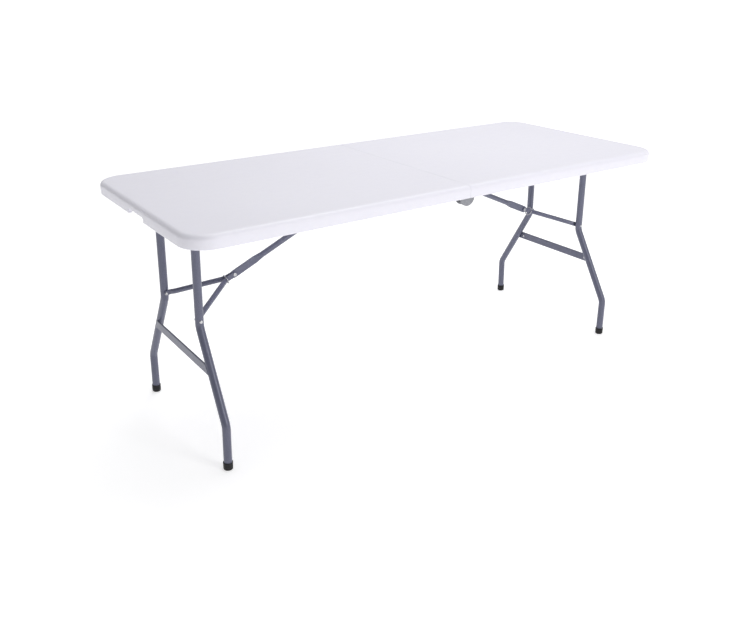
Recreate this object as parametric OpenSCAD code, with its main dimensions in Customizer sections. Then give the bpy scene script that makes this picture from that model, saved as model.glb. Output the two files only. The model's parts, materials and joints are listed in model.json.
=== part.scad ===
// Fold-in-half table: two blow-moulded half tops joined by two centre hinges,
// a swinging leg frame under each half, and a folding Y-shaped brace that
// holds each leg frame open. X runs along the length, Z is up, and the
// origin lies on the floor under the middle of the table.

/* [Tabletop] */
// Length of the open table
table_l = 1800; // [1780:1:1820]
// Width of the table
table_w = 740; // [730:1:780]
// Height of the top surface above the floor
table_h = 740; // [720:1:760]
// Radius of the four outer corners, seen from above
corner_r = 80; // [60:1:90]
// Rounding of the upper edge
edge_r = 14; // [6:0.5:15]
// Height of the rim
rim_h = 38; // [38:0.5:44]
// Thickness of the rim wall
rim_t = 10; // [8:0.5:10]
// Thickness of the deck inside the rim
deck_t = 6; // [5:0.5:6]

/* [Hand notches] */
// Width of the notch in each end rim
notch_w = 115; // [90:1:140]
// Depth of the notch from the lower edge of the rim
notch_h = 14; // [8:0.5:18]
// Corner radius of the notch
notch_r = 9; // [4:0.5:9]

/* [Leg frames] */
// Diameter of the leg and pivot tubes
leg_d = 25; // [20:0.5:25]
// Wall of the steel tubes
tube_wall = 1.5; // [1:0.1:2]
// Outward lean of the open legs, in degrees
leg_lean = 2; // [1:0.25:3]
// Distance from the end of the table to the leg pivot
pivot_inset = 113; // [105:1:120]
// Depth of the leg pivot below the deck
pivot_drop = 17; // [16:0.5:17]
// Spacing of the two legs at the pivot
leg_gap = 264; // [240:1:290]
// Spacing of the two feet
foot_gap = 564; // [520:1:600]
// Distance along the leg from the pivot to the upper bend
upper_bend = 321; // [318:1:330]
// Distance along the leg from the pivot to the lower bend
lower_bend = 576; // [560:1:590]
// Radius of the bends, on the tube's centre line
bend_r = 45; // [40:1:46]
// Diameter of the foot caps
foot_d = 29.5; // [28:0.5:29.5]
// Height of the foot caps
foot_h = 25; // [20:1:40]
// Distance along the leg from the pivot to the crossbar
bar_at = 429.5; // [415:0.5:450]
// Height of the crossbar
bar_w = 29; // [22:1:30]
// Thickness of the crossbar
bar_t = 6; // [5.5:0.5:6]

/* [Braces] */
// Distance along the leg from the pivot to the brace rivet
brace_at = 303; // [296:1:306]
// Distance from the middle of the table to the cross rod
rod_x = 58; // [55:1:62]
// Depth of the cross rod below the deck
rod_drop = 10; // [10:0.5:11]
// Diameter of the cross rod
rod_d = 10; // [8:0.5:10]
// Extra length of the open brace over a straight line
brace_slack = 0.4; // [0.2:0.1:0.8]
// Diameter of the stem tube
stem_d = 18; // [14:0.5:18]
// Length of the flattened stem end
flat_l = 88; // [70:1:100]
// Height of the flattened stem end
flat_w = 25; // [18:0.5:25]
// Diameter of the arm tubes
arm_d = 16; // [11:0.5:16]
// Outer diameter of the lock ring
ring_d = 32; // [32:0.5:33]
// Distance from the knee to the lock ring while it locks the brace
ring_past = 30; // [26:1:32]

/* [Centre hinges] */
// Distance from the middle of the table to each hinge
hinge_y = 343; // [341:0.5:343]
// Radius of the round hinge lobes
lobe_r = 27; // [24:0.5:28]
// Diameter of the hinge pins
pin_d = 8; // [6:0.5:8]

/* [Handle] */
// Distance from the middle of the table to the middle of the handle
handle_x = 440; // [400:1:480]
// Spacing of the two handle eyes
handle_w = 116; // [100:1:130]
// Distance from the handle's axis to the middle of the grip
handle_drop = 39; // [34:1:44]

/* [Hidden] */
$fn = 48;
eps = 0.02; // radial play of pressed parts
play = 0.05; // radial play of turning parts
gap = 0.3; // play between sliding faces

half_l = table_l / 2;
half_w = table_w / 2;
rim_z = table_h - rim_h;
deck_z = table_h - deck_t;
hinge_z = rim_z - gap;
seam = gap; // each half stops this far from the middle
strip = corner_r; // width of the edge strips

rail_y = half_w - 32; // inner face of the rail web
rail_t = 2;
rail_h = 27;
rail_flange = 14;
rail_from = 95;
rail_to = half_l - 80;
screw_d = 4;
screw_head = 8;
screw_head_h = 1.7;
screw_bite = 4.5;
rail_screws = [120, 290, 460, 630, 800];

plate_t = 2.5;
cheek_wide = 12; // inner face of the outer bracket's cheeks, from the hinge's middle
cheek_narrow = 9; // the same for the inner bracket
bracket_l = 85;
base_from = 30;
bracket_screws = [40, 76];
pin_head = 14;
pin_head_h = 2;
seam_wall_y = hinge_y - 18; // the seam walls stop short of the hinges

pivot = [half_l - pivot_inset, deck_z - pivot_drop];
spigot_d = 12;
spigot_l = 6;
leg_top_y = leg_gap / 2;
foot_y = foot_gap / 2;
bend_a = atan((foot_y - leg_top_y) / (lower_bend - upper_bend));
bend_run = bend_r * tan(bend_a / 2);
bend_lap = 0.5; // overlap of a straight run with a bend
bend_swell = 0.05; // extra wall of a bend on each side
saddle = 3; // the legs start this far below the pivot tube's axis
slant = (lower_bend - upper_bend) / cos(bend_a);
foot_edge = 4; // rounding of the foot
foot_base = foot_d / 2 - foot_edge;
foot_floor = 4; // thickness of the cap under the tube
// The leg is as long as brings the lowest point of the leaning foot to the floor
leg_l = (pivot[1] - foot_base * sin(leg_lean) - foot_edge * (1 - cos(leg_lean))) / cos(leg_lean);

bar_y = leg_top_y + (bar_at - upper_bend) * tan(bend_a);
bar_out = leg_d / 2 - 1.5; // from the leg's axis to the middle of the crossbar
bar_wall = 1.6;
bar_face = bar_out - bar_t / 2; // the crossbar's inner face
lug_from = bar_face + bar_wall + eps;
lug_t = 2;
lug_w = 18;
lug_l = 38;
rivet_d = 5;
bar_rivet_h = 2;
bar_rivet_in = 28; // from the leg's axis to the crossbar rivet

rod = [rod_x, deck_z - rod_drop];
rod_end = hinge_y - 4;
eye_d = 18.5;
eye_l = 24;
clip_d = 14;
clip_t = 2.5;

// The brace's two links, from the pivots' places with the leg open and folded
brace_open = [pivot[0] + brace_at * sin(leg_lean), pivot[1] - brace_at * cos(leg_lean)];
brace_folded = [pivot[0] - brace_at, pivot[1]];
reach_open = norm(brace_open - rod);
reach_folded = norm(brace_folded - rod);
arm_l = (reach_open + brace_slack - reach_folded) / 2;
stem_l = arm_l + reach_folded;
line_a = atan((rod[1] - brace_open[1]) / (brace_open[0] - rod[0]));
sag_a = acos((stem_l * stem_l + reach_open * reach_open - arm_l * arm_l) / (2 * stem_l * reach_open));
stem_a = line_a + sag_a;
knee = rod + stem_l * [cos(stem_a), -sin(stem_a)];
arm_a = atan((knee[1] - brace_open[1]) / (brace_open[0] - knee[0]));

flat_t = 6;
tab_t = 4;
tab_w = 16.5;
tab_in = flat_t / 2 + gap; // inner face of the upper tabs
upper_tab_l = 42;
leg_face = leg_top_y - leg_d / 2;
lower_tab_in = leg_face - 0.6 - tab_t;
lower_tab_l = 18;
arm_tube = [[40, tab_in + arm_d / 2 + 0.5], [arm_l - 13, lower_tab_in + tab_t - arm_d / 2]];
knee_d = 6;
knee_head = 12;
knee_head_h = 2;
arm_head_h = 2.5;
leg_head = 10; // heads of the rivets between the arms and the legs
ring_wire = 3;

handle_axis = [half_w - 5.5, rim_z + 6];
handle_eye_d = 11;
handle_eye_w = 11;
handle_arm_d = 9;
handle_grip_d = 11;
handle_flare = 6;
handle_pin_d = 5;
handle_pin_l = 36;
handle_slot_w = 12.6;

// Every piece is drawn for the right half and the rear side.
// side is 1 for the right half and -1 for the left; row is 1 for the rear and -1 for the front.
module placed(side, row = 1) {
  mirror([side < 0 ? 1 : 0, 0, 0]) mirror([0, row < 0 ? 1 : 0, 0]) children();
}

module both_rows() {
  children();
  mirror([0, 1, 0]) children();
}

// A cylinder along Y, centred on y = 0
module y_cylinder(d, l) {
  rotate([90, 0, 0]) cylinder(d = d, h = l, center = true);
}

// A cylinder along Y from y = a to y = b
module y_rod(d, a, b) {
  translate([0, (a + b) / 2, 0]) y_cylinder(d, b - a);
}

// An outline in X and Z, given thickness from y = a to y = b
module y_plate(a, b) {
  translate([0, b, 0]) rotate([90, 0, 0]) linear_extrude(b - a) children();
}

// Section of a tube; swell thickens its wall on both sides
module ring_outline(d, swell = 0) {
  difference() {
    circle(d = d + 2 * swell);
    circle(d = d - 2 * tube_wall - 2 * swell);
  }
}

// ---- Tabletop ----

// Section through the rim: x runs inwards from the outer face, y up from the rim's lower edge
module rim_section() {
  difference() {
    union() {
      square([rim_t, rim_h]);
      translate([0, rim_h - deck_t]) square([strip, deck_t]);
    }
    translate([0, rim_h - edge_r]) difference() {
      translate([-1, 0]) square([edge_r + 1, edge_r + 1]);
      translate([edge_r, 0]) circle(r = edge_r);
    }
  }
}

module side_strip() {
  translate([seam, half_w, rim_z]) rotate([90, 0, 90])
    linear_extrude(half_l - corner_r - seam) mirror([1, 0]) rim_section();
}

module end_strip() {
  translate([half_l, 0, rim_z]) rotate([90, 0, 0])
    linear_extrude(table_w - 2 * corner_r, center = true) mirror([1, 0]) rim_section();
}

module corner_strip() {
  translate([half_l - corner_r, half_w - corner_r, rim_z])
    rotate_extrude(angle = 90) translate([strip, 0]) mirror([1, 0]) rim_section();
}

module notch_outline() {
  translate([-notch_w / 2, -1]) square([notch_w, notch_h - notch_r + 1]);
  translate([-notch_w / 2 + notch_r, -1]) square([notch_w - 2 * notch_r, notch_h + 1]);
  for (x = [-1, 1]) translate([x * (notch_w / 2 - notch_r), notch_h - notch_r]) circle(r = notch_r);
}

module hand_notch() {
  translate([half_l - rim_t - 1, 0, rim_z]) rotate([90, 0, 90])
    linear_extrude(rim_t + 2) notch_outline();
}

module screw_places() {
  both_rows() {
    for (x = rail_screws) translate([x, rail_y + rail_t + 6, 0]) children();
    for (x = bracket_screws) translate([x, hinge_y + 2, 0]) children();
  }
}

module panel(side) {
  color("gainsboro") placed(side) difference() {
    union() {
      both_rows() side_strip();
      both_rows() corner_strip();
      end_strip();
      translate([seam, -half_w + strip, deck_z])
        cube([half_l - strip - seam, table_w - 2 * strip, deck_t]);
      translate([seam, -seam_wall_y, rim_z]) cube([rim_t, 2 * seam_wall_y, rim_h - deck_t / 2]);
    }
    hand_notch();
    screw_places() translate([0, 0, deck_z - 1]) cylinder(d = screw_d + 2 * eps, h = screw_bite + 1);
    if (side < 0) handle_slots();
  }
}

module handle_slots() {
  for (x = [-1, 1]) translate([handle_x + x * handle_w / 2, handle_axis[0], handle_axis[1]]) {
    translate([-handle_slot_w / 2, -rim_t, -rim_z]) cube([handle_slot_w, 2 * rim_t, rim_z + 6.5]);
    rotate([0, 90, 0]) cylinder(d = handle_pin_d + 2 * eps, h = handle_pin_l, center = true);
  }
}

// ---- Frame under each half ----

module rail(side, row) {
  color("slategray") placed(side, row) difference() {
    union() {
      translate([rail_from, rail_y, deck_z - rail_h]) cube([rail_to - rail_from, rail_t, rail_h]);
      translate([rail_from, rail_y, deck_z - rail_t]) cube([rail_to - rail_from, rail_flange, rail_t]);
    }
    translate([pivot[0], rail_y, pivot[1]]) y_cylinder(spigot_d + 2 * play, 10);
    screw_places() translate([0, 0, deck_z - 5]) cylinder(d = screw_d + 2 * eps, h = 10);
  }
}

module cheek_outline() {
  circle(r = lobe_r, $fn = 96);
  translate([0, 1]) square([bracket_l, deck_z - hinge_z - 1]);
}

// A U of two round-lobed cheeks and a base under the deck; the left one is the wider, outer U
module hinge_bracket(side, row) {
  inside = side < 0 ? cheek_wide : cheek_narrow;
  outside = inside + plate_t;
  bore = pin_d + 2 * (side < 0 ? eps : play);
  color("silver") placed(side, row) difference() {
    union() {
      translate([0, hinge_y, hinge_z]) {
        y_plate(inside, outside) cheek_outline();
        y_plate(-outside, -inside) cheek_outline();
      }
      translate([base_from, hinge_y - inside - 1, deck_z - plate_t])
        cube([bracket_l - base_from, 2 * inside + 2, plate_t]);
    }
    translate([0, hinge_y, hinge_z]) y_cylinder(bore, 40);
    translate([rod[0], hinge_y - inside - plate_t / 2, rod[1]]) y_cylinder(rod_d + 2 * eps, plate_t + 2);
    screw_places() translate([0, 0, deck_z - 5]) cylinder(d = screw_d + 2 * eps, h = 10);
  }
}

module hinge_pin(row) {
  reach = cheek_wide + plate_t;
  color("darkgray") placed(1, row) translate([0, hinge_y, hinge_z]) {
    y_cylinder(pin_d, 2 * reach + 1);
    y_rod(pin_head, reach, reach + pin_head_h);
    y_rod(pin_head, -reach - pin_head_h, -reach);
  }
}

module cross_rod(side) {
  color("slategray") placed(side) translate([rod[0], 0, rod[1]]) y_cylinder(rod_d, 2 * rod_end);
}

// Push-on clips that keep the cross rod between the hinge brackets
module rod_clips(side) {
  start = hinge_y - (side < 0 ? cheek_wide : cheek_narrow) + eps;
  color("silver") placed(side) both_rows() translate([rod[0], 0, rod[1]]) difference() {
    y_rod(clip_d, start, start + clip_t);
    y_cylinder(rod_d + 2 * eps, table_w);
  }
}

module screws(side) {
  color("silver") placed(side) both_rows() {
    for (x = rail_screws) translate([x, rail_y + rail_t + 6, deck_z - rail_t]) screw(rail_t);
    for (x = bracket_screws) translate([x, hinge_y + 2, deck_z - plate_t]) screw(plate_t);
  }
}

// A pan-head screw through a sheet of the given thickness, up into the deck
module screw(sheet) {
  cylinder(d = screw_d, h = sheet + screw_bite);
  translate([0, 0, -screw_head_h]) cylinder(d = screw_head, h = screw_head_h);
}

// ---- Leg frames ----

// Places a leg frame, drawn hanging straight down from its pivot, at its open lean
module leg_frame(side, row = 1) {
  placed(side, row) translate([pivot[0], 0, pivot[1]]) rotate([0, -leg_lean, 0]) children();
}

module pivot_tube(side) {
  end = rail_y - 2;
  color("slategray") leg_frame(side) {
    rotate([90, 0, 0]) linear_extrude(2 * end, center = true) ring_outline(leg_d);
    both_rows() {
      y_rod(leg_d - 2 * tube_wall, end - 10, end);
      y_rod(spigot_d, end, end + spigot_l);
    }
  }
}

// A straight run of tube, downwards, that reaches a little into what it meets at both ends
module run(l) {
  translate([0, 0, -l - bend_lap]) linear_extrude(l + 2 * bend_lap) ring_outline(leg_d);
}

// A bend from straight down towards +Y; what follows is drawn from its end
module bend(a) {
  translate([0, bend_r, 0]) rotate([0, 90, 0]) rotate([0, 0, -90])
    rotate_extrude(angle = a) translate([bend_r, 0]) ring_outline(leg_d, bend_swell);
  translate([0, bend_r * (1 - cos(a)), -bend_r * sin(a)]) rotate([a, 0, 0]) children();
}

module leg_tube() {
  translate([0, leg_top_y, 0]) {
    translate([0, 0, -saddle]) run(upper_bend - bend_run - saddle);
    translate([0, 0, -upper_bend + bend_run]) bend(bend_a) {
      run(slant - 2 * bend_run);
      translate([0, 0, -slant + 2 * bend_run]) mirror([0, 1, 0])
        bend(bend_a) run(leg_l - foot_floor - bend_lap - lower_bend - bend_run);
    }
  }
}

// A flat lug welded to the leg, which stands inside the crossbar's end
module lug() {
  slope = lug_w / 2 * tan(bend_a);
  difference() {
    translate([lug_from, bar_y, -bar_at]) rotate([90, 0, 90]) linear_extrude(lug_t)
      polygon([[-lug_l, -lug_w / 2], [slope, -lug_w / 2], [-slope, lug_w / 2], [-lug_l, lug_w / 2]]);
    at_bar() cylinder(d = leg_d - tube_wall, h = 4 * bar_w, center = true);
    at_bar_rivet() cylinder(d = rivet_d + 2 * eps, h = leg_d);
  }
}

module leg(side, row) {
  color("slategray") leg_frame(side, row) {
    difference() {
      leg_tube();
      y_cylinder(leg_d + 2 * eps, table_w);
      translate([0, leg_top_y, -brace_at]) y_cylinder(knee_d + 2 * eps, 2 * leg_d);
    }
    lug();
  }
}

// Draws its children where the crossbar meets the rear leg: -Z runs down the leg, -Y is its inner side
module at_bar() {
  translate([0, bar_y, -bar_at]) rotate([bend_a, 0, 0]) children();
}

// Draws its children along +X at the crossbar rivet of the rear leg, from the leg's middle plane
module at_bar_rivet() {
  translate([0, bar_y - bar_rivet_in, -bar_at]) rotate([0, 90, 0]) children();
}

module bar_outline(w, t) {
  square([t, w - t], center = true);
  for (y = [-1, 1]) translate([0, y * (w - t) / 2]) circle(d = t);
}

// An oval bar between the legs; its ends lap over the outer side of the legs
module crossbar(side) {
  color("slategray") leg_frame(side) difference() {
    translate([bar_out, 0, -bar_at]) rotate([90, 0, 0]) linear_extrude(2 * bar_y + bar_w, center = true)
      difference() {
        bar_outline(bar_w, bar_t);
        bar_outline(bar_w - 2 * bar_wall, bar_t - 2 * bar_wall);
      }
    both_rows() {
      at_bar() cylinder(d = leg_d + 2 * eps, h = 4 * bar_w, center = true);
      at_bar() translate([-leg_d, 0, -2 * bar_w]) cube([2 * leg_d, 2 * leg_d, 4 * bar_w]);
      at_bar_rivet() cylinder(d = rivet_d + 2 * eps, h = bar_out);
    }
  }
}

// Rivets from the inner side, through the crossbar's inner wall and the lug
module crossbar_rivets(side) {
  color("silver") leg_frame(side) both_rows() at_bar_rivet() {
    translate([0, 0, bar_face - 1]) cylinder(d = rivet_d, h = lug_from + lug_t + 1.5 - bar_face);
    translate([0, 0, bar_face - bar_rivet_h]) cylinder(d = 2 * rivet_d, h = bar_rivet_h);
  }
}

// Outer heads and shanks of the rivets that join the brace arms to the legs
module leg_rivets(side) {
  face = leg_top_y + leg_d / 2;
  color("silver") leg_frame(side) both_rows() translate([0, 0, -brace_at]) {
    y_rod(knee_d, leg_face + gap, face + 1);
    y_rod(leg_head, face, face + knee_head_h);
  }
}

// A cap that the end of the leg tube stands in
module foot(side, row) {
  color("dimgray") leg_frame(side, row) translate([0, foot_y, -leg_l]) difference() {
    rotate_extrude() {
      square([foot_base, foot_h]);
      translate([0, foot_edge]) square([foot_d / 2, foot_h - foot_edge]);
      intersection() {
        translate([foot_base, foot_edge]) circle(r = foot_edge);
        square([foot_d / 2, foot_edge + 1]);
      }
    }
    translate([0, 0, foot_floor]) cylinder(d = leg_d + 2 * eps, h = foot_h);
  }
}

// ---- Braces ----

// Draws its children along +X from the cross rod to the knee
module stem_line(side) {
  placed(side) translate([rod[0], 0, rod[1]]) rotate([0, stem_a, 0]) children();
}

// Draws its children along +X from the knee to the brace rivet on the leg
module arm_line(side, row = 1) {
  placed(side, row) translate([knee[0], 0, knee[1]]) rotate([0, arm_a, 0]) children();
}

module stem(side) {
  flat_from = stem_l - flat_l;
  color("slategray") stem_line(side) difference() {
    union() {
      y_cylinder(eye_d, eye_l);
      rotate([0, 90, 0]) difference() {
        cylinder(d = stem_d, h = flat_from + 6);
        translate([0, 0, eye_d / 2 + 4]) cylinder(d = stem_d - 2 * tube_wall, h = flat_from - eye_d);
      }
      translate([flat_from, -flat_t / 2, -flat_w / 2]) cube([flat_l, flat_t, flat_w]);
      translate([stem_l, 0, 0]) y_cylinder(flat_w, flat_t);
    }
    y_cylinder(rod_d + 2 * play, eye_l + 2);
    translate([stem_l, 0, 0]) y_cylinder(knee_d + 2 * eps, flat_t + 2);
  }
}

module knee_rivet(side) {
  face = tab_in + tab_t + gap;
  color("silver") stem_line(side) translate([stem_l, 0, 0]) {
    y_cylinder(knee_d, 2 * face + 1);
    both_rows() y_rod(knee_head, face, face + knee_head_h);
  }
}

module arm(side, row) {
  a = arm_tube[0];
  b = arm_tube[1];
  color("slategray") arm_line(side, row) difference() {
    union() {
      translate([0, tab_in, -tab_w / 2]) cube([upper_tab_l, tab_t, tab_w]);
      y_rod(tab_w, tab_in, tab_in + tab_t);
      translate([a[0], a[1], 0]) {
        sphere(d = arm_d + 2 * bend_swell);
        rotate([0, 90, atan((b[1] - a[1]) / (b[0] - a[0]))]) cylinder(d = arm_d, h = norm(b - a));
      }
      translate([b[0], b[1], 0]) sphere(d = arm_d + 2 * bend_swell);
      translate([arm_l - lower_tab_l, lower_tab_in, -tab_w / 2]) cube([lower_tab_l, tab_t, tab_w]);
      translate([arm_l, 0, 0]) y_rod(tab_w, lower_tab_in, lower_tab_in + tab_t);
    }
    y_cylinder(knee_d + 2 * play, 4 * arm_d);
    translate([arm_l, lower_tab_in, 0]) y_cylinder(knee_d + 2 * eps, 4 * tab_t);
  }
}

// Inner heads and shanks of the rivets at the arms' lower ends
module arm_rivet_heads(side) {
  color("silver") arm_line(side) both_rows() translate([arm_l, 0, 0]) {
    y_rod(knee_d, lower_tab_in - 1, lower_tab_in + tab_t);
    y_rod(leg_head, lower_tab_in - arm_head_h, lower_tab_in);
  }
}

// The loose ring that slides over the knee and keeps the brace straight
module lock_ring(side) {
  color("gainsboro") stem_line(side) translate([stem_l + ring_past, 0, 0]) rotate([0, 90, 0])
    rotate_extrude() translate([(ring_d - ring_wire) / 2, 0]) circle(d = ring_wire);
}

// ---- Carrying handle ----

module handle_frame() {
  placed(-1) translate([handle_x, handle_axis[0], handle_axis[1]]) children();
}

module handle_grip() {
  bottom = handle_w / 2 - handle_flare;
  color("dimgray") handle_frame() {
    for (x = [-1, 1]) mirror([x < 0 ? 1 : 0, 0, 0]) {
      difference() {
        union() {
          translate([handle_w / 2, 0, 0]) rotate([0, 90, 0])
            cylinder(d = handle_eye_d, h = handle_eye_w, center = true);
          translate([bottom, 0, -handle_drop]) rotate([0, atan(handle_flare / handle_drop), 0])
            cylinder(d = handle_arm_d, h = norm([handle_flare, handle_drop]));
        }
        translate([handle_w / 2, 0, 0]) rotate([0, 90, 0])
          cylinder(d = handle_pin_d + 2 * play, h = 2 * handle_eye_w, center = true);
      }
      translate([bottom, 0, -handle_drop]) sphere(d = handle_grip_d);
    }
    translate([0, 0, -handle_drop]) rotate([0, 90, 0])
      cylinder(d = handle_grip_d, h = 2 * bottom, center = true);
  }
}

module handle_pins() {
  color("silver") handle_frame() for (x = [-1, 1])
    translate([x * handle_w / 2, 0, 0]) rotate([0, 90, 0])
      cylinder(d = handle_pin_d, h = handle_pin_l - 1, center = true);
}

panel(-1);  // left_panel
panel(1);  // right_panel
rail(-1, -1);  // left_rail_front
rail(-1, 1);  // left_rail_rear
rail(1, -1);  // right_rail_front
rail(1, 1);  // right_rail_rear
hinge_bracket(-1, -1);  // left_hinge_bracket_front
hinge_bracket(-1, 1);  // left_hinge_bracket_rear
hinge_bracket(1, -1);  // right_hinge_bracket_front
hinge_bracket(1, 1);  // right_hinge_bracket_rear
hinge_pin(-1);  // hinge_pin_front
hinge_pin(1);  // hinge_pin_rear
cross_rod(-1);  // left_cross_rod
cross_rod(1);  // right_cross_rod
rod_clips(-1);  // left_rod_clips
rod_clips(1);  // right_rod_clips
screws(-1);  // left_screws
screws(1);  // right_screws
pivot_tube(-1);  // left_pivot_tube
pivot_tube(1);  // right_pivot_tube
leg(-1, -1);  // left_leg_front
leg(-1, 1);  // left_leg_rear
leg(1, -1);  // right_leg_front
leg(1, 1);  // right_leg_rear
crossbar(-1);  // left_crossbar
crossbar(1);  // right_crossbar
foot(-1, -1);  // left_foot_front
foot(-1, 1);  // left_foot_rear
foot(1, -1);  // right_foot_front
foot(1, 1);  // right_foot_rear
leg_rivets(-1);  // left_leg_rivets
leg_rivets(1);  // right_leg_rivets
crossbar_rivets(-1);  // left_crossbar_rivets
crossbar_rivets(1);  // right_crossbar_rivets
stem(-1);  // left_stem
stem(1);  // right_stem
knee_rivet(-1);  // left_knee_rivet
knee_rivet(1);  // right_knee_rivet
arm(-1, -1);  // left_arm_front
arm(-1, 1);  // left_arm_rear
arm(1, -1);  // right_arm_front
arm(1, 1);  // right_arm_rear
arm_rivet_heads(-1);  // left_arm_rivet_heads
arm_rivet_heads(1);  // right_arm_rivet_heads
lock_ring(-1);  // left_lock_ring
lock_ring(1);  // right_lock_ring
handle_grip();
handle_pins();
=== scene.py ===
"""Folding table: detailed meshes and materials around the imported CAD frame.

Metres, +X along the table, +Z up, origin on the floor under the middle.
Pieces are built for the right half and the rear side, and mirrored to the others.
"""

import json
import math

import bmesh
import bpy
from mathutils import Matrix, Vector


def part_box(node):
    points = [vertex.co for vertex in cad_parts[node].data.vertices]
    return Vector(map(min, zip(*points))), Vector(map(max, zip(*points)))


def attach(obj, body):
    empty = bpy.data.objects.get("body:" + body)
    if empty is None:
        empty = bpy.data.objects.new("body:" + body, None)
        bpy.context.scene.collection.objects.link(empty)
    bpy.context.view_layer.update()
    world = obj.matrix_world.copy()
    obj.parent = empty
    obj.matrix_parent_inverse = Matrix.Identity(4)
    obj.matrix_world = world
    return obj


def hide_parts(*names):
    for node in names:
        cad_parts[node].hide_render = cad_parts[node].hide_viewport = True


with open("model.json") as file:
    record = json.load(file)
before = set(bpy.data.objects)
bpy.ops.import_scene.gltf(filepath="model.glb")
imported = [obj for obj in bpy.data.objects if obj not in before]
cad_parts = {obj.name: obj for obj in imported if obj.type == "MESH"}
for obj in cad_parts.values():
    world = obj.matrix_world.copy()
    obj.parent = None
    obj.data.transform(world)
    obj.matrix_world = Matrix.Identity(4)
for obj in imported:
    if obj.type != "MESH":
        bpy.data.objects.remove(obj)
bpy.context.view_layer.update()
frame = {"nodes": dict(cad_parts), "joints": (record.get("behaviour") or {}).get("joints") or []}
MM = 0.001
SIDES = {"left": -1, "right": 1}
ROWS = {"front": -1, "rear": 1}
JOINTS = {j["name"]: j for j in frame["joints"]}


# ---- Places, from the frame ----

PANEL_LOW, PANEL_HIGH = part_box("right_panel")
HALF_L = PANEL_HIGH.x
HALF_W = PANEL_HIGH.y
TOP = PANEL_HIGH.z
RIM_Z = PANEL_LOW.z
SEAM = PANEL_LOW.x
CORNER_R = 80 * MM
EDGE_R = 14 * MM
RIM_T = 10 * MM
DECK_T = 6 * MM
DECK_Z = TOP - DECK_T

PIVOT = Vector(JOINTS["right_leg_fold"]["pos_m"])
ROD = Vector(JOINTS["right_brace_swing"]["pos_m"])
KNEE = Vector(JOINTS["right_knee_fold"]["pos_m"])
HANDLE_AXIS = Vector(JOINTS["handle_swing"]["pos_m"])

LEG_R = 12.5 * MM
LEG_LEAN = math.radians(2)
LEG_TOP_Y = 132 * MM
FOOT_Y = 282 * MM
UPPER_BEND = 321 * MM
LOWER_BEND = 576 * MM
BEND_R = 45 * MM
BEND_A = math.atan((FOOT_Y - LEG_TOP_Y) / (LOWER_BEND - UPPER_BEND))
LEG_L = 717.0 * MM
BRACE_AT = 303 * MM
BAR_AT = 429.5 * MM
BAR_Y = LEG_TOP_Y + (BAR_AT - UPPER_BEND) * math.tan(BEND_A)
BAR_FACE = 8 * MM
LUG_FROM = 9.62 * MM
LUG_T = 2 * MM
LUG_HALF_H = 9 * MM

BRACE_RIVET = PIVOT + Vector((math.sin(LEG_LEAN), 0, -math.cos(LEG_LEAN))) * BRACE_AT
STEM_L = (KNEE - ROD).length
ARM_L = (BRACE_RIVET - KNEE).length


# ---- Mesh tools ----


def finish_mesh(name, bm, material, body, slot, replaces=(), side=1, row=1, sharp=40):
    """Turns a bmesh of the right rear piece into an object for a side and row, and puts it on its body."""
    bmesh.ops.remove_doubles(bm, verts=bm.verts, dist=1e-6)
    bm.transform(Matrix.Diagonal((side, row, 1, 1)))
    bmesh.ops.recalc_face_normals(bm, faces=bm.faces)
    limit = math.radians(sharp)
    for edge in bm.edges:
        edge.smooth = len(edge.link_faces) == 2 and edge.calc_face_angle(0) < limit
    for face in bm.faces:
        face.smooth = True
    mesh = bpy.data.meshes.new(name)
    bm.to_mesh(mesh)
    bm.free()
    mesh.materials.append(material)
    obj = bpy.data.objects.new(name, mesh)
    bpy.context.scene.collection.objects.link(obj)
    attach(obj, body)
    if replaces:
        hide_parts(*replaces)
    return obj


def skin(bm, rings, closed=False, caps=True):
    """Quads between rings of points, with flat caps on an open run."""
    loops = [[bm.verts.new(p) for p in ring] for ring in rings]
    count = len(loops[0])
    pairs = list(zip(loops, loops[1:]))
    if closed:
        pairs.append((loops[-1], loops[0]))
    for a, b in pairs:
        for i in range(count):
            k = (i + 1) % count
            bm.faces.new((a[i], a[k], b[k], b[i]))
    if caps and not closed:
        bm.faces.new(loops[0][::-1])
        bm.faces.new(loops[-1])


def sweep(bm, path, ref, radii, sides=32, closed=False):
    """A tube along a path. radii gives each point's half width along ref and across it,
    and may add a power under 1 that squares its section."""
    rings = []
    last = len(path) - 1
    for i, centre in enumerate(path):
        if closed:
            ahead, behind = path[(i + 1) % len(path)], path[i - 1]
        else:
            ahead, behind = path[min(i + 1, last)], path[max(i - 1, 0)]
        tangent = (ahead - behind).normalized()
        across = tangent.cross(ref).normalized()
        up = across.cross(tangent).normalized()
        wide, deep, power = (*radii[i], 1.0)[:3]
        ring = []
        for k in range(sides):
            a = 2 * math.pi * k / sides
            c, s = math.cos(a), math.sin(a)
            u = math.copysign(abs(c) ** power, c) * wide
            v = math.copysign(abs(s) ** power, s) * deep
            ring.append(centre + up * u + across * v)
        rings.append(ring)
    skin(bm, rings, closed)


def lathe(bm, profile, origin, axis, sides=32):
    """Turns a profile of (radius, height) points round an axis; it may start and end on the axis."""
    axis = axis.normalized()
    side = axis.orthogonal().normalized()
    other = axis.cross(side)
    loops = []
    for radius, height in profile:
        centre = origin + axis * height
        if radius < 1e-7:
            loops.append([bm.verts.new(centre)])
            continue
        turn = [2 * math.pi * k / sides for k in range(sides)]
        spokes = [side * math.cos(a) + other * math.sin(a) for a in turn]
        loops.append([bm.verts.new(centre + spoke * radius) for spoke in spokes])
    for a, b in zip(loops, loops[1:]):
        for i in range(sides):
            k = (i + 1) % sides
            corners = [a[i % len(a)], a[k % len(a)], b[k % len(b)], b[i % len(b)]]
            bm.faces.new(list(dict.fromkeys(corners)))


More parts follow.
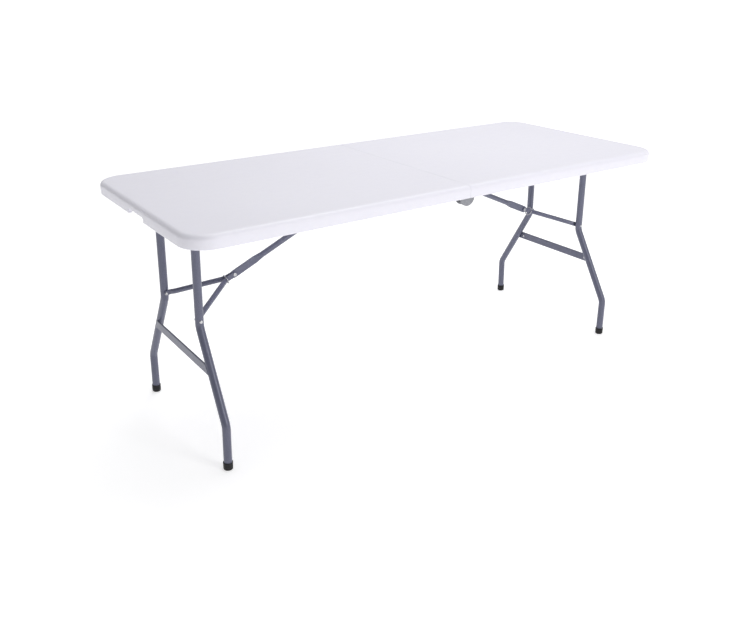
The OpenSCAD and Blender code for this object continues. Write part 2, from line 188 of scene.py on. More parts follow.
def rounded(radius, low, high, edge):
    """A lathe profile for a solid disc or rod with rounded ends."""
    steps = [math.pi / 2 * k / 4 for k in range(5)]
    foot = [(radius - edge + edge * math.sin(a), low + edge - edge * math.cos(a)) for a in steps]
    head = [(radius - edge + edge * math.cos(a), high - edge + edge * math.sin(a)) for a in steps]
    return [(0, low)] + foot + head + [(0, high)]


def dome(radius, height, skirt=0.0003):
    """A lathe profile for a domed rivet head that stands on height zero."""
    steps = [math.pi / 2 * k / 8 for k in range(9)]
    crown = [(radius * math.cos(a), skirt + (height - skirt) * math.sin(a)) for a in steps]
    return [(0, -skirt), (radius, -skirt)] + crown[:-1] + [(0, height)]


def smoothstep(t):
    t = min(max(t, 0), 1)
    return t * t * (3 - 2 * t)


def mix(a, b, t):
    return a + (b - a) * t


# ---- Materials ----


class Shader:
    """A small helper that adds nodes to one material."""

    def __init__(self, name):
        self.material = bpy.data.materials.new(name)
        self.material.use_nodes = True
        self.tree = self.material.node_tree
        self.surface = self.tree.nodes["Principled BSDF"]
        self.place = self.tree.nodes.new("ShaderNodeTexCoord").outputs["Object"]

    def node(self, kind, links=None, **settings):
        made = self.tree.nodes.new(kind)
        for key, value in settings.items():
            setattr(made, key, value)
        for key, value in (links or {}).items():
            if isinstance(value, bpy.types.NodeSocket):
                self.tree.links.new(value, made.inputs[key])
            else:
                made.inputs[key].default_value = value
        return made

    def link(self, value, socket):
        self.tree.links.new(value, self.surface.inputs[socket])

    def noise(self, scale, detail=4, roughness=0.5, vector=None):
        links = {"Vector": vector or self.place, "Scale": scale, "Detail": detail, "Roughness": roughness}
        return self.node("ShaderNodeTexNoise", links).outputs["Fac"]

    def cells(self, scale, feature="F1", output="Distance"):
        made = self.node("ShaderNodeTexVoronoi", {"Vector": self.place, "Scale": scale}, feature=feature)
        return made.outputs[output]

    def stretched(self, scale):
        """The object's coordinates with each axis scaled."""
        return self.node("ShaderNodeMapping", {"Vector": self.place, "Scale": scale}).outputs["Vector"]

    def range(self, value, low, high, to_low, to_high):
        links = {"Value": value, "From Min": low, "From Max": high, "To Min": to_low, "To Max": to_high}
        return self.node("ShaderNodeMapRange", links).outputs["Result"]

    def math(self, operation, a, b):
        return self.node("ShaderNodeMath", {0: a, 1: b}, operation=operation).outputs[0]

    def away(self):
        """How far the point is from the table's centre."""
        return self.node("ShaderNodeVectorMath", {0: self.place}, operation="LENGTH").outputs["Value"]

    def height(self):
        """How high a point of the piece lies, at rest."""
        return self.node("ShaderNodeSeparateXYZ", {0: self.place}).outputs["Z"]

    def blend(self, factor, a, b):
        made = self.node("ShaderNodeMix", data_type="RGBA")
        for index, value in ((0, factor), (6, a), (7, b)):
            if isinstance(value, bpy.types.NodeSocket):
                self.tree.links.new(value, made.inputs[index])
            else:
                made.inputs[index].default_value = value
        return made.outputs[2]

    def bump(self, value, strength, distance, below=None):
        links = {"Height": value, "Strength": strength, "Distance": distance}
        if below is not None:
            links["Normal"] = below
        return self.node("ShaderNodeBump", links).outputs["Normal"]

    def constant(self, **values):
        for socket, value in values.items():
            self.surface.inputs[socket.replace("_", " ")].default_value = value


def tabletop_plastic():
    """White blow-moulded plastic: a fine pebble on the upper face, satin elsewhere, faint scuffs."""
    s = Shader("tabletop_plastic")
    upper = s.range(s.height(), TOP - 1.5 * MM, TOP - 0.2 * MM, 0.15, 1)
    pebble = s.cells(520, "SMOOTH_F1")
    grain = s.noise(2600, 2)
    tint = s.noise(1.7, 2)
    fine = s.noise(38, 4, 0.6)
    scuff = s.noise(7, 6, 0.72, s.stretched((0.6, 5, 1)))
    marks = s.range(scuff, 0.64, 0.72, 0, 1)
    base = s.blend(tint, (0.772, 0.762, 0.835, 1), (0.812, 0.805, 0.875, 1))
    base = s.blend(s.math("MULTIPLY", fine, 0.10), base, (0.70, 0.69, 0.735, 1))
    base = s.blend(s.math("MULTIPLY", marks, 0.12), base, (0.66, 0.655, 0.69, 1))
    s.link(base, "Base Color")
    rough = s.range(fine, 0.3, 0.7, 0.36, 0.50)
    s.link(s.math("ADD", rough, s.math("MULTIPLY", marks, 0.10)), "Roughness")
    relief = s.math("MULTIPLY", s.math("ADD", pebble, s.math("MULTIPLY", grain, 0.15)), upper)
    s.link(s.bump(relief, 0.22, 0.25 * MM, s.bump(s.noise(16, 2), 0.10, 1.2 * MM)), "Normal")
    s.constant(IOR=1.51, Subsurface_Weight=0.06, Subsurface_Radius=(0.006, 0.006, 0.007))
    s.surface.inputs["Subsurface Scale"].default_value = 0.4
    return s.material


def frame_paint():
    """Blue-grey powder coat: fine orange peel, a speckle, and rubbed places that are paler and smoother."""
    s = Shader("frame_paint")
    peel = s.cells(620, "SMOOTH_F1")
    speck = s.noise(900, 3, 0.7)
    cloud = s.noise(9, 3)
    rub = s.range(s.noise(30, 6, 0.75, s.stretched((1, 1, 0.25))), 0.62, 0.70, 0, 1)
    base = s.blend(s.range(speck, 0.35, 0.65, 0, 1), (0.084, 0.089, 0.136, 1), (0.144, 0.150, 0.222, 1))
    base = s.blend(s.math("MULTIPLY", cloud, 0.35), base, (0.096, 0.100, 0.149, 1))
    base = s.blend(s.math("MULTIPLY", rub, 0.30), base, (0.23, 0.235, 0.29, 1))
    s.link(base, "Base Color")
    s.link(s.range(s.math("ADD", cloud, s.math("MULTIPLY", rub, -0.3)), 0.1, 0.8, 0.30, 0.44), "Roughness")
    s.link(s.bump(s.math("ADD", peel, s.math("MULTIPLY", speck, 0.3)), 0.20, 0.2 * MM), "Normal")
    s.constant(Metallic=0.2, IOR=1.5, Coat_Weight=0.3, Coat_Roughness=0.22)
    return s.material


def zinc():
    """Zinc-plated pressed steel: dull spangle, fine rolling lines and darker handling stains."""
    s = Shader("hinge_zinc")
    spangle = s.cells(170, output="Color")
    lines = s.noise(60, 5, 0.6, s.stretched((4, 4, 60)))
    stain = s.range(s.noise(26, 5, 0.6), 0.45, 0.75, 0, 1)
    tone = s.node("ShaderNodeRGBToBW", {0: spangle}).outputs[0]
    base = s.blend(s.math("MULTIPLY", tone, 0.5), (0.24, 0.245, 0.27, 1), (0.40, 0.405, 0.43, 1))
    base = s.blend(s.math("MULTIPLY", stain, 0.5), base, (0.15, 0.15, 0.17, 1))
    s.link(base, "Base Color")
    s.link(s.range(s.math("ADD", tone, lines), 0.2, 1.5, 0.28, 0.48), "Roughness")
    s.link(s.bump(lines, 0.12, 0.15 * MM), "Normal")
    s.constant(Metallic=0.92)
    return s.material


def bright_steel():
    """Bright plated wire and rivets, with fine scratches and a duller bloom in places."""
    s = Shader("bright_steel")
    scratch = s.noise(220, 6, 0.75, s.stretched((1, 6, 1)))
    bloom = s.noise(60, 3)
    base = s.blend(s.range(bloom, 0.4, 0.7, 0, 1), (0.56, 0.56, 0.58, 1), (0.40, 0.40, 0.42, 1))
    s.link(base, "Base Color")
    s.link(s.range(s.math("ADD", scratch, s.math("MULTIPLY", bloom, 0.6)), 0.5, 1.1, 0.14, 0.36), "Roughness")
    s.link(s.bump(scratch, 0.10, 0.08 * MM), "Normal")
    s.constant(Metallic=1.0)
    return s.material


def foot_rubber():
    """Black foot caps: a fine moulded grain, scuffed grey and dusty where they meet the floor."""
    s = Shader("foot_plastic")
    grain = s.noise(1400, 3)
    wear = s.noise(180, 5, 0.7)
    low = s.range(s.height(), 0, 9 * MM, 1, 0)
    dust = s.math("MULTIPLY", low, s.range(wear, 0.35, 0.7, 0, 0.55))
    base = s.blend(wear, (0.006, 0.006, 0.007, 1), (0.012, 0.012, 0.014, 1))
    s.link(s.blend(dust, base, (0.11, 0.108, 0.105, 1)), "Base Color")
    s.link(s.range(s.math("ADD", wear, dust), 0.3, 1.0, 0.42, 0.75), "Roughness")
    s.link(s.bump(grain, 0.25, 0.15 * MM), "Normal")
    s.constant(Specular_IOR_Level=0.3)
    return s.material


def handle_plastic():
    """Black moulded plastic with a leathery grain, polished where it is gripped."""
    s = Shader("handle_plastic")
    leather = s.cells(900, "SMOOTH_F1")
    worn = s.noise(45, 4)
    s.link(s.blend(worn, (0.010, 0.010, 0.011, 1), (0.022, 0.022, 0.025, 1)), "Base Color")
    s.link(s.range(worn, 0.3, 0.7, 0.30, 0.52), "Roughness")
    s.link(s.bump(leather, 0.25, 0.2 * MM), "Normal")
    return s.material


def paper_floor():
    """A plain pale studio floor."""
    s = Shader("studio_floor")
    s.link(s.blend(s.noise(0.6, 2), (0.78, 0.78, 0.78, 1), (0.80, 0.80, 0.80, 1)), "Base Color")
    s.constant(Roughness=0.9)
    s.surface.inputs["Emission Color"].default_value = (1, 1, 1, 1)
    s.link(s.range(s.away(), 2, 6, 0.50, 0.85), "Emission Strength")
    return s.material


PLASTIC = tabletop_plastic()
PAINT = frame_paint()
ZINC = zinc()
BRIGHT = bright_steel()
RUBBER = foot_rubber()
HANDLE = handle_plastic()


# ---- Tabletop ----

NOTCH_W = 115 * MM
NOTCH_H = 14 * MM
NOTCH_R = 9 * MM
SLOT_W = 12.6 * MM
SLOT_H = 12.5 * MM
HANDLE_EYE = 58 * MM
RIM_EDGE = 1.8 * MM  # rounding of the rim's lower edges
STRIP = 20 * MM  # how far the edge strip reaches in over the deck
DIMPLE_PITCH = 40 * MM
DIMPLE_R = 10 * MM
DIMPLE_DEPTH = 3.6 * MM
SEAM_WALL_Y = 325 * MM


def rim_section(lift):
    """The section through the rim as (inset, height), from the deck's upper face round to its underside."""
    bottom = RIM_Z + lift
    points = [(STRIP, TOP)]
    for k in range(9):
        a = math.pi / 2 * k / 8
        points.append((EDGE_R - EDGE_R * math.sin(a), TOP - EDGE_R + EDGE_R * math.cos(a)))
    for k in range(5):
        a = math.pi / 2 * k / 4
        points.append((RIM_EDGE - RIM_EDGE * math.cos(a), bottom + RIM_EDGE - RIM_EDGE * math.sin(a)))
    for k in range(5):
        a = math.pi / 2 * k / 4
        points.append((RIM_T - RIM_EDGE + RIM_EDGE * math.sin(a), bottom + RIM_EDGE - RIM_EDGE * math.cos(a)))
    for k in range(5):
        a = math.pi / 2 * k / 4
        points.append((RIM_T + 3 * MM - 3 * MM * math.cos(a), DECK_Z - 3 * MM + 3 * MM * math.sin(a)))
    points.append((STRIP, DECK_Z))
    return points


def notch_points():
    """(offset from the notch's middle, lift) along the end rim, over one side of the hand notch."""
    half = NOTCH_W / 2
    points = [(half + 6 * MM, 0), (half + 2 * MM, 0), (half + 0.6 * MM, 0.6 * MM), (half, 2 * MM)]
    for k in range(9):
        a = math.pi / 2 * k / 8
        points.append((half - NOTCH_R + NOTCH_R * math.cos(a), NOTCH_H - NOTCH_R + NOTCH_R * math.sin(a)))
    return points + [(half / 2, NOTCH_H)]


def slot_points(middle):
    """(place along the rear rim, lift) across one of the handle's slots."""
    half = SLOT_W / 2
    shape = [(half + 1.2 * MM, 0), (half + 0.2 * MM, 0.5 * MM), (half, 2 * MM), (half, SLOT_H - 2 * MM)]
    shape += [(half - 0.6 * MM, SLOT_H - 0.6 * MM), (half - 2 * MM, SLOT_H)]
    return [(middle - x, h) for x, h in shape] + [(middle + x, h) for x, h in shape[::-1]]


def rim_route(with_slots):
    """Stops along the front, end and rear rims: a place on the outline, the way in, and the lift there."""
    stops = []
    straight = HALF_L - CORNER_R
    xs = [mix(SEAM, straight, k / 12) for k in range(13)]
    for x in xs:
        stops.append((Vector((x, -HALF_W)), Vector((0, 1)), 0))
    corner = Vector((straight, -HALF_W + CORNER_R))
    for k in range(1, 16):
        a = -math.pi / 2 + math.pi / 2 * k / 16
        out = Vector((math.cos(a), math.sin(a)))
        stops.append((corner + out * CORNER_R, -out, 0))
    side = HALF_W - CORNER_R
    one = [(side, 0), (side * 0.66, 0), (side * 0.33, 0)] + notch_points()
    along = [(-y, h) for y, h in one] + [(0, NOTCH_H)] + one[::-1]
    for y, h in along:
        stops.append((Vector((HALF_L, y)), Vector((-1, 0)), h))
    corner = Vector((straight, HALF_W - CORNER_R))
    for k in range(1, 16):
        a = math.pi / 2 * k / 16
        out = Vector((math.cos(a), math.sin(a)))
        stops.append((corner + out * CORNER_R, -out, 0))
    rear = [(x, 0) for x in xs]
    if with_slots:
        middle = abs(HANDLE_AXIS.x)
        slots = slot_points(middle - HANDLE_EYE) + slot_points(middle + HANDLE_EYE)
        eyes = (-HANDLE_EYE, HANDLE_EYE)
        clear = [(x, h) for x, h in rear if min(abs(x - middle - e) for e in eyes) > SLOT_W]
        rear = sorted(clear + slots, key=lambda stop: stop[0])
    for x, h in rear[::-1]:
        stops.append((Vector((x, HALF_W)), Vector((0, -1)), h))
    return stops


def square_ring(x, y, size):
    """Sixteen points evenly round a square."""
    half, step = size / 2, size / 4
    ring = [(x - half + step * k, y - half) for k in range(4)]
    ring += [(x + half, y - half + step * k) for k in range(4)]
    ring += [(x + half - step * k, y + half) for k in range(4)]
    return ring + [(x - half, y + half - step * k) for k in range(4)]


def dimple(bm, x, y):
    """One square of the deck's underside with a round moulded dimple pressed up into it."""
    loops = [[bm.verts.new((px, py, DECK_Z)) for px, py in square_ring(x, y, DIMPLE_PITCH)]]
    shape = [(1.35, 0), (1.1, 0.06), (0.95, 0.35), (0.8, 0.75), (0.62, 0.96), (0.4, 1)]
    for radius, rise in shape:
        ring = []
        for k in range(16):
            a = -3 * math.pi / 4 + 2 * math.pi * k / 16
            place = (x + math.cos(a) * DIMPLE_R * radius, y + math.sin(a) * DIMPLE_R * radius)
            ring.append(bm.verts.new((*place, DECK_Z + DIMPLE_DEPTH * rise)))
        loops.append(ring)
    for a, b in zip(loops, loops[1:]):
        for i in range(16):
            bm.faces.new((a[i], a[(i + 1) % 16], b[(i + 1) % 16], b[i]))
    bm.faces.new(loops[-1])


def panel(name, side):
    """One half of the top, with its rim, hand notch, seam wall and dimpled underside."""
    bm = bmesh.new()
    loops = []
    for place, inwards, lift in rim_route(with_slots=side < 0):
        ring = []
        for inset, height in rim_section(lift):
            spot = place + inwards * inset
            ring.append(bm.verts.new((max(spot.x, SEAM), spot.y, height)))
        loops.append(ring)
    last = len(loops[0]) - 1
    for a, b in zip(loops, loops[1:]):
        for i in range(last):
            bm.faces.new((a[i], a[i + 1], b[i + 1], b[i]))
    bm.faces.new([ring[0] for ring in loops])
    bm.faces.new(loops[0] + loops[-1][::-1])
    outer = [ring[-1] for ring in loops]
    border = [bm.edges.get((a, b)) for a, b in zip(outer, outer[1:])]
    border.append(bm.edges.get((outer[0], outer[-1])) or bm.edges.new((outer[0], outer[-1])))

    columns = int((HALF_L - 70 * MM) / DIMPLE_PITCH)
    rows = int(2 * (HALF_W - 50 * MM) / DIMPLE_PITCH)
    first_x = 26 * MM + DIMPLE_PITCH / 2
    first_y = -(rows - 1) * DIMPLE_PITCH / 2
    grid = bmesh.new()
    for i in range(columns):
        for k in range(rows):
            dimple(grid, first_x + i * DIMPLE_PITCH, first_y + k * DIMPLE_PITCH)
    bmesh.ops.remove_doubles(grid, verts=grid.verts, dist=1e-6)
    spare = bpy.data.meshes.new("spare")
    grid.to_mesh(spare)
    grid.free()
    known = set(bm.edges)
    bm.from_mesh(spare)
    bpy.data.meshes.remove(spare)
    inner = [e for e in bm.edges if e not in known and len(e.link_faces) == 1]
    bmesh.ops.triangle_fill(bm, use_beauty=True, edges=border + inner)

    wall = [(SEAM, RIM_Z + RIM_EDGE), (SEAM + RIM_EDGE, RIM_Z), (SEAM + RIM_T - RIM_EDGE, RIM_Z)]
    wall += [(SEAM + RIM_T, RIM_Z + RIM_EDGE), (SEAM + RIM_T, DECK_Z + 0.5 * MM), (SEAM, DECK_Z + 0.5 * MM)]
    rings = [[Vector((x, y, z)) for x, z in wall] for y in (-SEAM_WALL_Y, SEAM_WALL_Y)]
    skin(bm, rings)
    finish_mesh(name, bm, PLASTIC, f"{name.split('_')[0]}_half", "tabletop_plastic", [name], side)


for side_name, side in SIDES.items():
    panel(f"{side_name}_panel", side)


# ---- Leg frames ----


def leg_matrix():
    """From a leg frame hanging straight down from its pivot to its place at the right end."""
    return Matrix.Translation(PIVOT) @ Matrix.Rotation(-LEG_LEAN, 4, "Y")


LEG_FRAME = leg_matrix()
LEG_X = LEG_FRAME.to_3x3() @ Vector((1, 0, 0))
LEG_DOWN = LEG_FRAME.to_3x3() @ Vector((0, 0, -1))


def leg_path():
    """The rear leg's centre line, from the pivot tube to inside the foot cap."""
    run = BEND_R * math.tan(BEND_A / 2)
    slope = Vector((0, math.sin(BEND_A), -math.cos(BEND_A)))
    down = Vector((0, 0, -1))
    upper = Vector((0, LEG_TOP_Y, -UPPER_BEND))
    lower = Vector((0, FOOT_Y, -LOWER_BEND))
    points = [Vector((0, LEG_TOP_Y, -3 * MM)), Vector((0, LEG_TOP_Y, -150 * MM))]
    points += [upper + Vector((0, 0, z * MM)) for z in (45, 32, 24)]
    for corner, start, end in ((upper, down, slope), (lower, slope, down)):
        a, c = corner - start * run, corner + end * run
        for k in range(13):
            t = k / 12
            points.append(a * (1 - t) ** 2 + corner * 2 * t * (1 - t) + c * t * t)
    points.append(Vector((0, FOOT_Y, -(LEG_L - 5 * MM))))
    return points


def lug(bm):
    """The welded lug that stands in the crossbar's end."""
    low = Vector((LUG_FROM, BAR_Y - 38 * MM, -BAR_AT - LUG_HALF_H))
    high = Vector((LUG_FROM + LUG_T, BAR_Y - 6 * MM, -BAR_AT + LUG_HALF_H))
    ends = []
    for y in (low.y, high.y):
        square = [(low.x, low.z), (high.x, low.z), (high.x, high.z), (low.x, high.z)]
        ends.append([LEG_FRAME @ Vector((x, y, z)) for x, z in square])
    skin(bm, ends)


def leg(side_name, row_name):
    name = f"{side_name}_leg_{row_name}"
    bm = bmesh.new()
    path = [LEG_FRAME @ p for p in leg_path()]
    sweep(bm, path, LEG_X, [(LEG_R, LEG_R)] * len(path), 40)
    bead = []
    for k in range(40):
        a = 2 * math.pi * k / 40
        x, y = math.cos(a) * (LEG_R + 0.8 * MM), math.sin(a) * (LEG_R + 0.8 * MM)
        z = -math.sqrt(max(LEG_R**2 - (math.cos(a) * LEG_R) ** 2, 0)) - 0.8 * MM
        ripple = 0.35 * MM * math.sin(a * 22)
        bead.append(LEG_FRAME @ Vector((x, LEG_TOP_Y + y, min(z, -2.5 * MM) + ripple)))
    sweep(bm, bead, LEG_DOWN, [(1.9 * MM, 1.7 * MM)] * 40, 8, closed=True)
    lug(bm)
    place = (bm, PAINT, f"{side_name}_legs", "frame_paint", [name], SIDES[side_name], ROWS[row_name])
    finish_mesh(name + "_tube", *place)


def foot_cap(side_name, row_name):
    name = f"{side_name}_foot_{row_name}"
    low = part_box("right_foot_rear")[0]
    base = LEG_FRAME @ Vector((0, FOOT_Y, -LEG_L))
    up = -LEG_DOWN
    mm = [(0, 0.5), (4, 0.2), (9, 0), (10.9, 0.1), (12.6, 0.9), (13.8, 2.2), (14.2, 4), (14.25, 6.4)]
    mm += [(13.9, 6.9), (13.9, 7.7), (14.3, 8.2), (14.4, 14), (14.45, 21), (14.7, 22), (14.7, 24.2)]
    mm += [(14.4, 24.8), (13.6, 25), (12.9, 24.5), (12.6, 23.5), (12.55, 17)]
    bm = bmesh.new()
    lathe(bm, [(r * MM, h * MM) for r, h in mm], base, up, 48)
    # a moulded foot closes on the tube, so its mouth ends in a floor inside
    rim = [e for e in bm.edges if len(e.link_faces) == 1]
    bmesh.ops.contextual_create(bm, geom=rim)
    place = (bm, RUBBER, f"{side_name}_legs", "foot_plastic", [name], SIDES[side_name], ROWS[row_name])
    obj = finish_mesh(name + "_cap", *place)
    drop = min(v.co.z for v in obj.data.vertices) - low.z
    for v in obj.data.vertices:
        v.co.z -= drop


for side_name in SIDES:
    for row_name in ROWS:
        leg(side_name, row_name)
        foot_cap(side_name, row_name)


def rivets(name, heads, body, side, replaces):
    """Domed rivet heads at (place, outward direction, radius, height), drawn for both rows."""
    bm = bmesh.new()
    for place, out, radius, height in heads:
        for row in (-1, 1):
            flip = Matrix.Diagonal((1, row, 1, 1))
            lathe(bm, dome(radius, height), flip @ place, flip.to_3x3() @ out, 28)
    finish_mesh(name, bm, BRIGHT, body, "bright_steel", replaces, side)


Y = Vector((0, 1, 0))
LEG_OUTER = LEG_TOP_Y + LEG_R
HEAD_R = 5 * MM
HEAD_H = 2 * MM
BAR_RIVET = LEG_FRAME @ Vector((BAR_FACE, BAR_Y - 28 * MM, -BAR_AT))
TAB_IN = 3.3 * MM
TAB_T = 4 * MM
LOWER_TAB_IN = LEG_TOP_Y - LEG_R - 0.6 * MM - TAB_T

for side_name, side in SIDES.items():
    outer = BRACE_RIVET + Y * LEG_OUTER
    rivets(f"{side_name}_leg_rivet_heads", [(outer, Y, HEAD_R, HEAD_H)], f"{side_name}_legs", side,
           [f"{side_name}_leg_rivets"])
    rivets(f"{side_name}_crossbar_rivet_heads", [(BAR_RIVET, -LEG_X, HEAD_R, HEAD_H)], f"{side_name}_legs",
           side, [f"{side_name}_crossbar_rivets"])
    inner = BRACE_RIVET + Y * LOWER_TAB_IN
    rivets(f"{side_name}_arm_rivet_domes", [(inner, -Y, HEAD_R, 2.5 * MM)], f"{side_name}_arms", side,
           [f"{side_name}_arm_rivet_heads"])
    knee_face = KNEE + Y * (TAB_IN + TAB_T + 0.3 * MM)
    rivets(f"{side_name}_knee_rivet_heads", [(knee_face, Y, 6 * MM, HEAD_H)], f"{side_name}_stem_link", side,
           [f"{side_name}_knee_rivet"])


# ---- Braces ----

# Sizes of the links, in millimetres
STEM_R = 9.0
FLAT_L = 88.0
FLAT_HALF = 12.5
FLAT_THIN = 3
ARM_R = 8.0
TAB_HALF = 8.25
TAB_THIN = 2
SQUARED = 0.5  # the section power of a pressed flat


def rounded_end(start, way, half, thick, offset=0.0):
    """Stations over the half-round end of a flat.

    A station is a distance along, an offset, a half height, a half thickness and a section power.
    """
    stations = []
    for k in range(1, 9):
        a = math.pi / 2 * k / 8
        place = start + way * half * math.sin(a)
        stations.append((place, offset, max(half * math.cos(a), 0.8), thick, SQUARED))
    return stations


def link(bm, stations, start, along, up):
    """Sweeps stations, in millimetres, along a link that begins at start."""
    path = [start + along * (x * MM) + Y * (y * MM) for x, y, *_ in stations]
    sweep(bm, path, up, [(tall * MM, thin * MM, power) for *_, tall, thin, power in stations], 40)


def stem(side_name):
    """The long link: a round tube, pressed flat at the knee and wrapped round the cross rod."""
    along = (KNEE - ROD).normalized()
    up = Vector((-along.z, 0, along.x))
    end = STEM_L / MM
    flat_from = end - FLAT_L
    stations = [(9, 0, STEM_R, STEM_R, 1), (40, 0, STEM_R, STEM_R, 1)]
    for k in range(13):
        t = smoothstep(k / 12)
        place = flat_from - 22 + 34 * k / 12
        stations.append((place, 0, mix(STEM_R, FLAT_HALF, t), mix(STEM_R, FLAT_THIN, t), mix(1, SQUARED, t)))
    stations += [(x, 0, FLAT_HALF, FLAT_THIN, SQUARED) for x in (end - 40, end)]
    stations += rounded_end(end, 1, FLAT_HALF, FLAT_THIN)
    bm = bmesh.new()
    link(bm, stations, ROD, along, up)
    lathe(bm, rounded(9.25 * MM, -12 * MM, 12 * MM, 1.2 * MM), ROD, Y, 48)
    name = f"{side_name}_stem"
    place = (bm, PAINT, f"{side_name}_stem_link", "frame_paint", [name], SIDES[side_name])
    finish_mesh(name + "_link", *place)


def arm(side_name, row_name):
    """One side of the Y: a tube with a flattened tab at each end."""
    along = (BRACE_RIVET - KNEE).normalized()
    up = Vector((-along.z, 0, along.x))
    inner = (TAB_IN + TAB_T / 2) / MM
    outer = (LOWER_TAB_IN + TAB_T / 2) / MM
    end = ARM_L / MM
    start_x, start_y = 44, inner + 9.4
    stop_x = end - 26
    stop_y = outer - 15.6
    slope = (stop_y - start_y) / (stop_x - start_x)
    stations = rounded_end(0, -1, TAB_HALF, TAB_THIN, inner)[::-1]
    stations += [(x, inner, TAB_HALF, TAB_THIN, SQUARED) for x in (0, 18)]
    for k in range(1, 11):
        t = k / 10
        x = 18 * (1 - t) ** 2 + 58 * t * (1 - t) + start_x * t * t
        y = inner * (1 - t * t) + start_y * t * t
        stations.append((x, y, mix(TAB_HALF, ARM_R, t), mix(TAB_THIN, ARM_R, t * t), mix(SQUARED, 1, t)))
    for k in range(1, 6):
        t = k / 6
        stations.append((mix(start_x, stop_x, t), mix(start_y, stop_y, t), ARM_R, ARM_R, 1))
    for k in range(11):
        t = k / 10
        x = mix(stop_x, end - 6, t)
        rise = t * (1 - t) ** 2 * slope * (end - 6 - stop_x)
        y = mix(stop_y, outer, smoothstep(t)) + rise
        flat = smoothstep(t)
        section = (mix(ARM_R, TAB_HALF, flat), mix(ARM_R, TAB_THIN, flat), mix(1, SQUARED, flat))
        stations.append((x, y, *section))
    stations.append((end, outer, TAB_HALF, TAB_THIN, SQUARED))
    stations += rounded_end(end, 1, TAB_HALF, TAB_THIN, outer)
    bm = bmesh.new()
    link(bm, stations, KNEE, along, up)
    name = f"{side_name}_arm_{row_name}"
    place = (bm, PAINT, f"{side_name}_arms", "frame_paint", [name], SIDES[side_name], ROWS[row_name])
    finish_mesh(name + "_link", *place)


def lock_ring(side_name):
    """A wire ring with the small lump of its butt weld."""
    low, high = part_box("right_lock_ring")
    centre = (low + high) / 2
    along = (KNEE - ROD).normalized()
    up = Vector((-along.z, 0, along.x))
    radius = 14.5 * MM
    path = [centre + (up * math.cos(a) + Y * math.sin(a)) * radius
            for a in (2 * math.pi * k / 72 for k in range(72))]
    weld = [1.5 + 0.35 * math.exp(-(((k + 36) % 72 - 36) / 1.6) ** 2) for k in range(72)]
    bm = bmesh.new()
    sweep(bm, path, along, [(w * MM, w * MM) for w in weld], 16, closed=True)
    name = f"{side_name}_lock_ring"
    place = (bm, BRIGHT, f"{side_name}_ring", "bright_steel", [name], SIDES[side_name])
    finish_mesh(name + "_wire", *place)


for side_name in SIDES:
    stem(side_name)
    lock_ring(side_name)
    for row_name in ROWS:
        arm(side_name, row_name)


# ---- Carrying handle ----


def handle():
    """A moulded bail: two eyes, curved flaring arms and a grip with finger ridges."""
    bm = bmesh.new()
    drop = 39 * MM
    low_half = 50 * MM
    points, radii = [], []
    for k in range(13):
        t = k / 12
        x = mix(HANDLE_EYE, low_half, t) - 2.5 * MM * math.sin(math.pi * t)
        points.append(Vector((x, 0, -drop * t * 0.84)))
        radii.append((mix(4.8, 4.2, t) * MM, mix(4.6, 4.4, t) * MM))
    for k in range(1, 9):
        a = math.pi / 2 * k / 8
        corner = Vector((low_half - 6.2 * MM, 0, -drop * 0.84))
        points.append(corner + Vector((math.cos(a), 0, -math.sin(a))) * 6.2 * MM)
        radii.append((4.4 * MM, 4.6 * MM))
    for k in range(1, 41):
        x = mix(low_half - 6.2 * MM, -(low_half - 6.2 * MM), k / 41)
        ridge = 0.5 + 0.5 * math.cos(x / (11 * MM) * 2 * math.pi)
        points.append(Vector((x, 0, -drop - 0.3 * MM * ridge)))
        radii.append(((4.5 + 0.7 * ridge) * MM, (4.6 + 0.6 * ridge) * MM))
    mirrored = [Vector((-p.x, 0, p.z)) for p in points[:21]][::-1]
    points += mirrored
    radii += radii[:21][::-1]
    sweep(bm, points, Y, radii, 28)
    for x in (-HANDLE_EYE, HANDLE_EYE):
        lathe(bm, rounded(5.5 * MM, -5.5 * MM, 5.5 * MM, 0.8 * MM), Vector((x, 0, 0)), Vector((1, 0, 0)), 36)
    bm.transform(Matrix.Translation(HANDLE_AXIS))
    finish_mesh("handle_bail", bm, HANDLE, "handle", "handle_plastic", ["handle_grip"])


handle()


# ---- Fasteners ----


def screw_heads(side_name):
    """Pan heads with a small round recess in the middle, where the frame is screwed up into the deck."""
    bm = bmesh.new()
    x_rail = [120, 290, 460, 630, 800]
    x_bracket = [40, 76]
    spots = [(x, 346, DECK_Z - 2 * MM) for x in x_rail] + [(x, 345, DECK_Z - 2.5 * MM) for x in x_bracket]
    profile = [(0, -0.9), (0.9, -0.9), (1.1, -1.7), (2.6, -1.65), (3.5, -1.2), (3.95, -0.5), (4, 0), (0, 0)]
    for x, y, z in spots:
        for row in (-1, 1):
            centre = Vector((x * MM, y * MM * row, z))
            lathe(bm, [(r * MM, h * MM) for r, h in profile], centre, Vector((0, 0, 1)), 20)
    name = f"{side_name}_screws"
    finish_mesh(name + "_heads", bm, ZINC, f"{side_name}_half", "hinge_zinc", [name], SIDES[side_name], 1, 30)


for side_name in SIDES:
    screw_heads(side_name)


# ---- CAD nodes that are shown as they are ----


def dress(node, material, edge):
    """Gives a CAD node its material and a fine rounding of its edges."""
    obj = frame["nodes"][node]
    obj.data.materials.clear()
    obj.data.materials.append(material)
    bevel = obj.modifiers.new("edge", "BEVEL")
    bevel.width = edge
    bevel.segments = 2
    bevel.limit_method = "ANGLE"
    bevel.angle_limit = math.radians(50)
    bevel.harden_normals = False


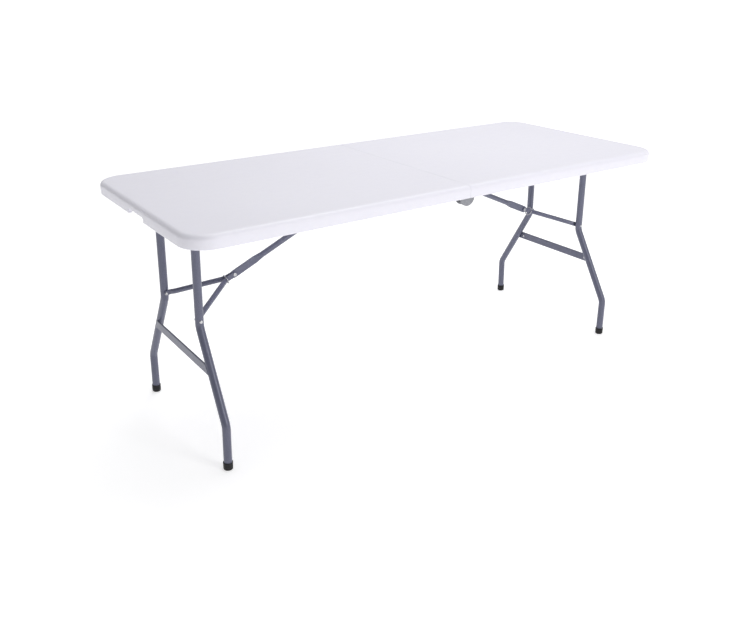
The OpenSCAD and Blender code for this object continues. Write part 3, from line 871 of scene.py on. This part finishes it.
for side_name in SIDES:
    for row_name in ROWS:
        dress(f"{side_name}_rail_{row_name}", PAINT, 0.4 * MM)
        dress(f"{side_name}_hinge_bracket_{row_name}", ZINC, 0.5 * MM)
    for part in ("pivot_tube", "crossbar", "cross_rod"):
        dress(f"{side_name}_{part}", PAINT, 0.4 * MM)
    dress(f"{side_name}_rod_clips", ZINC, 0.3 * MM)
for row_name in ROWS:
    dress(f"hinge_pin_{row_name}", ZINC, 0.5 * MM)
dress("handle_pins", ZINC, 0.4 * MM)


# ---- Studio ----


def studio_floor():
    """A floor wide enough that its edge stays out of the picture."""
    bm = bmesh.new()
    bmesh.ops.create_grid(bm, x_segments=2, y_segments=2, size=60)
    mesh = bpy.data.meshes.new("studio_floor")
    bm.to_mesh(mesh)
    bm.free()
    mesh.materials.append(paper_floor())
    floor = bpy.data.objects.new("studio_floor", mesh)
    bpy.context.scene.collection.objects.link(floor)


def softbox(name, place, aim, size, power):
    light = bpy.data.lights.new(name, "AREA")
    light.shape = "RECTANGLE"
    light.size, light.size_y = size
    light.energy = power
    obj = bpy.data.objects.new(name, light)
    obj.location = place
    obj.rotation_euler = (Vector(aim) - Vector(place)).to_track_quat("-Z", "Y").to_euler()
    bpy.context.scene.collection.objects.link(obj)


def studio_light():
    """A pale room that is brighter towards the right and overhead, and two softboxes."""
    world = bpy.data.worlds.new("studio")
    world.use_nodes = True
    tree = world.node_tree
    place = tree.nodes.new("ShaderNodeTexCoord")
    towards = tree.nodes.new("ShaderNodeVectorMath")
    towards.operation = "DOT_PRODUCT"
    towards.inputs[1].default_value = (0.80, 0.10, 0.59)
    level = tree.nodes.new("ShaderNodeMapRange")
    for socket, value in (("From Min", -0.8), ("From Max", 1), ("To Min", 0.27), ("To Max", 0.58)):
        level.inputs[socket].default_value = value
    tree.links.new(place.outputs["Generated"], towards.inputs[0])
    tree.links.new(towards.outputs["Value"], level.inputs["Value"])
    tree.links.new(level.outputs["Result"], tree.nodes["Background"].inputs["Color"])
    bpy.context.scene.world = world
    softbox("key", (0.7, -3.5, 2.0), (0.1, 0, 0.6), (1.2, 2.0), 42)
    softbox("top", (0.9, 0.6, 3.6), (0.1, 0, 0.7), (3.0, 2.4), 66)
    bpy.context.scene.view_settings.view_transform = "Standard"


def camera():
    """The camera that fits the open table's corners, edges and feet."""
    data = bpy.data.cameras.new("camera")
    data.sensor_width = 36
    data.lens = 37.56
    obj = bpy.data.objects.new("camera", data)
    yaw, pitch, roll = 0.6164, 0.4193, 0.0033
    turn = Matrix.Rotation(-yaw, 4, "Z") @ Matrix.Rotation(math.pi / 2 - pitch, 4, "X")
    obj.matrix_world = Matrix.Translation((-1.5633, -2.0743, 1.3330)) @ turn @ Matrix.Rotation(roll, 4, "Z")
    bpy.context.scene.collection.objects.link(obj)
    bpy.context.scene.camera = obj


studio_floor()
studio_light()
camera()
